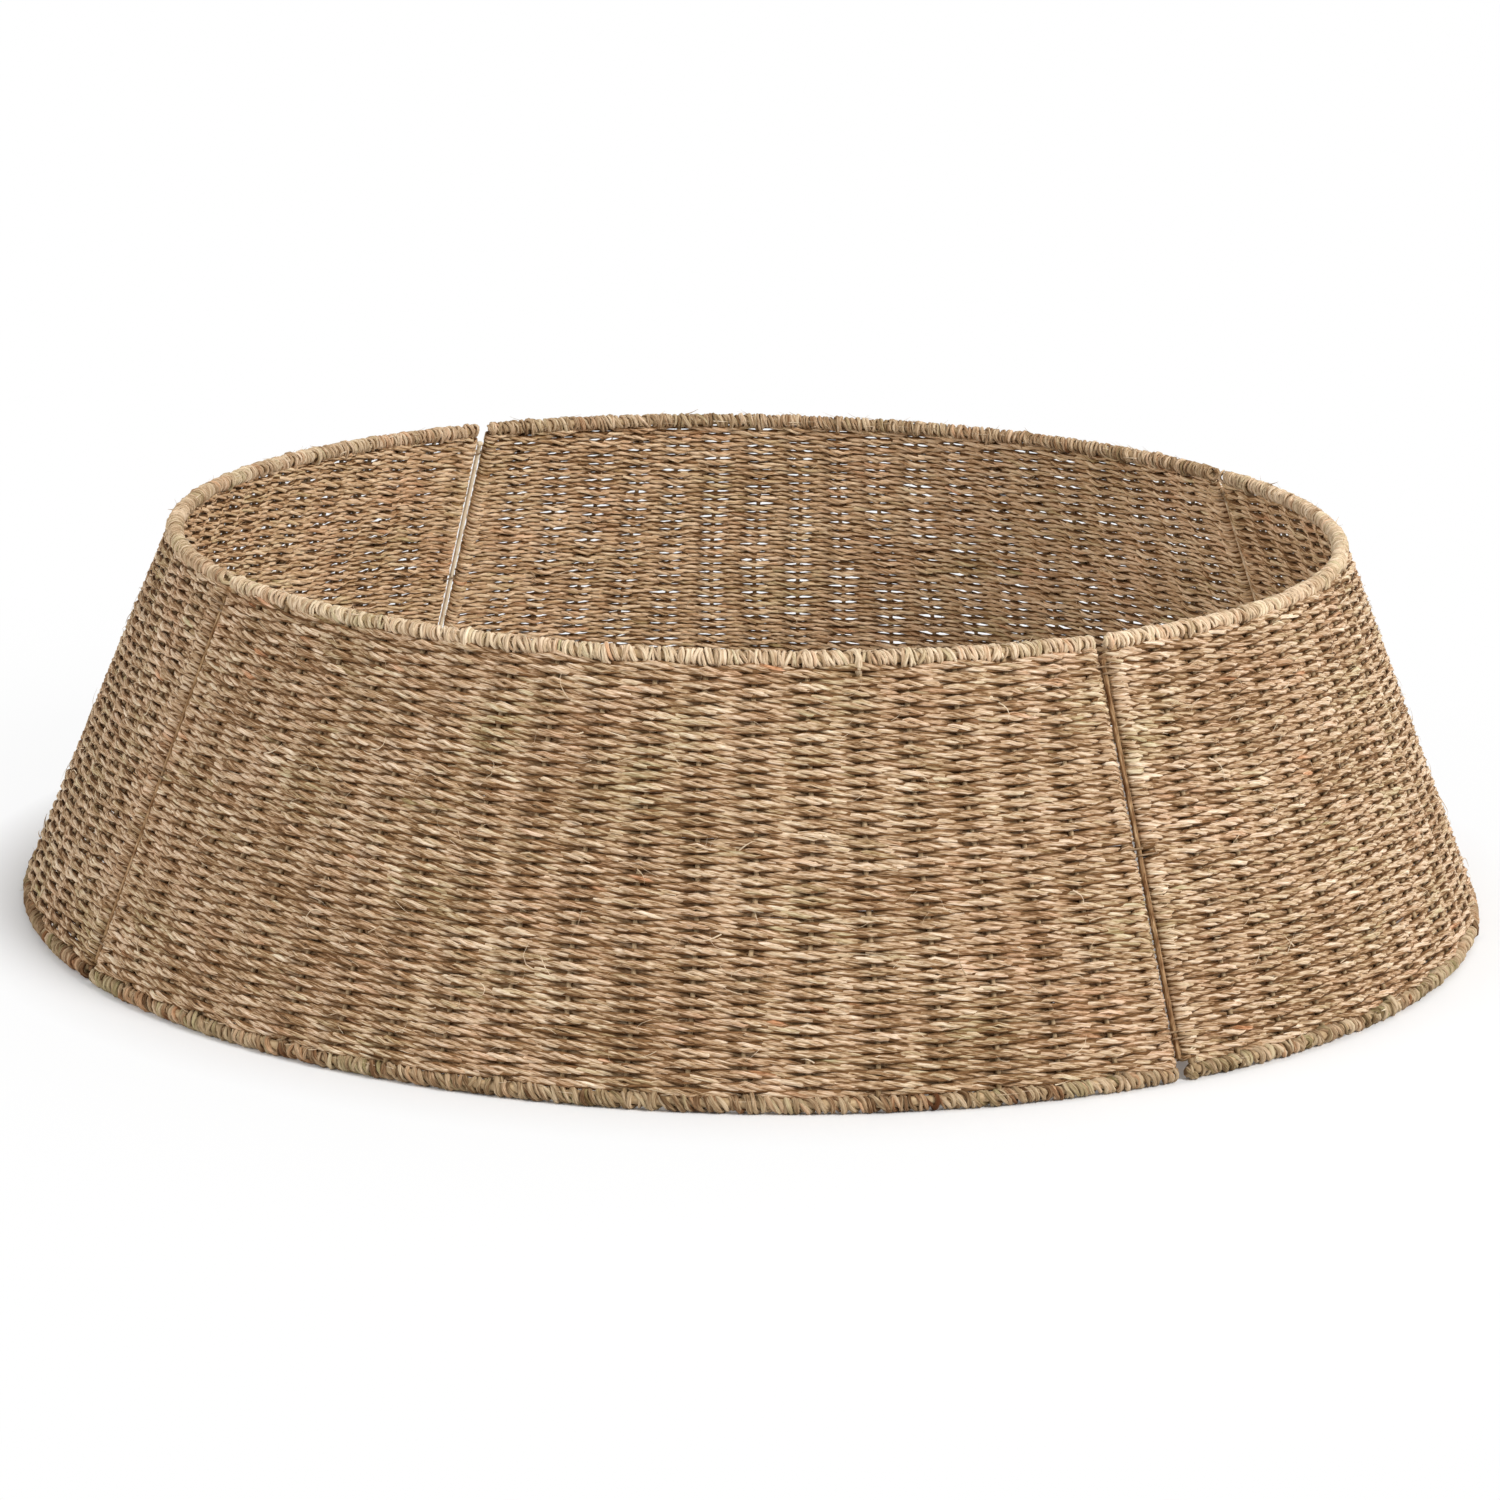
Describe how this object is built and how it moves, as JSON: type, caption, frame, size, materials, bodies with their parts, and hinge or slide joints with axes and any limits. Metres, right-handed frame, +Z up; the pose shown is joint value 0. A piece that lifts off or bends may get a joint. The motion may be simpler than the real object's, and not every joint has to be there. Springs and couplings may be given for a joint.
{
  "type": "christmas tree collar",
  "caption": "Woven seagrass tree collar: an open cone of curved wire-framed panels with bound rims, pinned edge to edge, that hides the stand of a Christmas tree.",
  "frame": {"origin": "on the floor, in the middle of the ring", "axes": "+Z up along the cone's axis, -Y towards the middle of the front panel, +X towards the middle of the right panel"},
  "size_m": [0.76, 0.76, 0.195],
  "materials": {
    "wire_frame": "matt tan enamel",
    "seagrass": "natural twisted seagrass, dry and fibrous",
    "pale_seagrass": "paler twisted seagrass, dry and fibrous",
    "loop_wire": "dull brown enamelled wire",
    "cane": "plain split cane"
  },
  "bodies": {
    "front_panel": {"front_frame": "wire_frame", "front_weave": "seagrass", "front_top_binding": "pale_seagrass", "front_bottom_binding": "seagrass", "front_eye_1": "loop_wire", "front_eye_2": "loop_wire", "front_eye_3": "loop_wire", "front_loop_1": "loop_wire", "front_loop_2": "loop_wire", "front_loop_3": "loop_wire"},
    "right_panel": {"right_frame": "wire_frame", "right_weave": "seagrass", "right_top_binding": "pale_seagrass", "right_bottom_binding": "seagrass", "right_eye_1": "loop_wire", "right_eye_2": "loop_wire", "right_eye_3": "loop_wire", "right_loop_1": "loop_wire", "right_loop_2": "loop_wire", "right_loop_3": "loop_wire"},
    "back_panel": {"back_frame": "wire_frame", "back_weave": "seagrass", "back_top_binding": "pale_seagrass", "back_bottom_binding": "seagrass", "back_eye_1": "loop_wire", "back_eye_2": "loop_wire", "back_eye_3": "loop_wire", "back_loop_1": "loop_wire", "back_loop_2": "loop_wire", "back_loop_3": "loop_wire"},
    "left_panel": {"left_frame": "wire_frame", "left_weave": "seagrass", "left_top_binding": "pale_seagrass", "left_bottom_binding": "seagrass", "left_eye_1": "loop_wire", "left_eye_2": "loop_wire", "left_eye_3": "loop_wire", "left_loop_1": "loop_wire", "left_loop_2": "loop_wire", "left_loop_3": "loop_wire"},
    "front_pin": {"front_pin": "cane"},
    "right_pin": {"right_pin": "cane"},
    "back_pin": {"back_pin": "cane"},
    "left_pin": {"left_pin": "cane"}
  },
  "joints": [
    {"name": "right_panel_swing", "type": "hinge", "parent": "front_panel", "child": "right_panel", "pos_m": [0.26503, -0.26503, 0.0045], "axis": [0.2675, -0.2675, -0.9257], "range_deg": [0, 90]},
    {"name": "back_panel_swing", "type": "hinge", "parent": "right_panel", "child": "back_panel", "pos_m": [0.26503, 0.26503, 0.0045], "axis": [0.2675, 0.2675, -0.9257], "range_deg": [0, 90]},
    {"name": "left_panel_swing", "type": "hinge", "parent": "front_panel", "child": "left_panel", "pos_m": [-0.26503, -0.26503, 0.0045], "axis": [0.2675, 0.2675, 0.9257], "range_deg": [0, 90]},
    {"name": "front_pin_pull", "type": "slide", "parent": "front_panel", "child": "front_pin", "axis": [0.2675, 0.2675, 0.9257], "range_m": [0, 0.186]},
    {"name": "right_pin_pull", "type": "slide", "parent": "right_panel", "child": "right_pin", "axis": [-0.2675, 0.2675, 0.9257], "range_m": [0, 0.186]},
    {"name": "back_pin_pull", "type": "slide", "parent": "back_panel", "child": "back_pin", "axis": [-0.2675, -0.2675, 0.9257], "range_m": [0, 0.186]},
    {"name": "left_pin_pull", "type": "slide", "parent": "left_panel", "child": "left_pin", "axis": [0.2675, -0.2675, 0.9257], "range_m": [0, 0.186]}
  ]
}
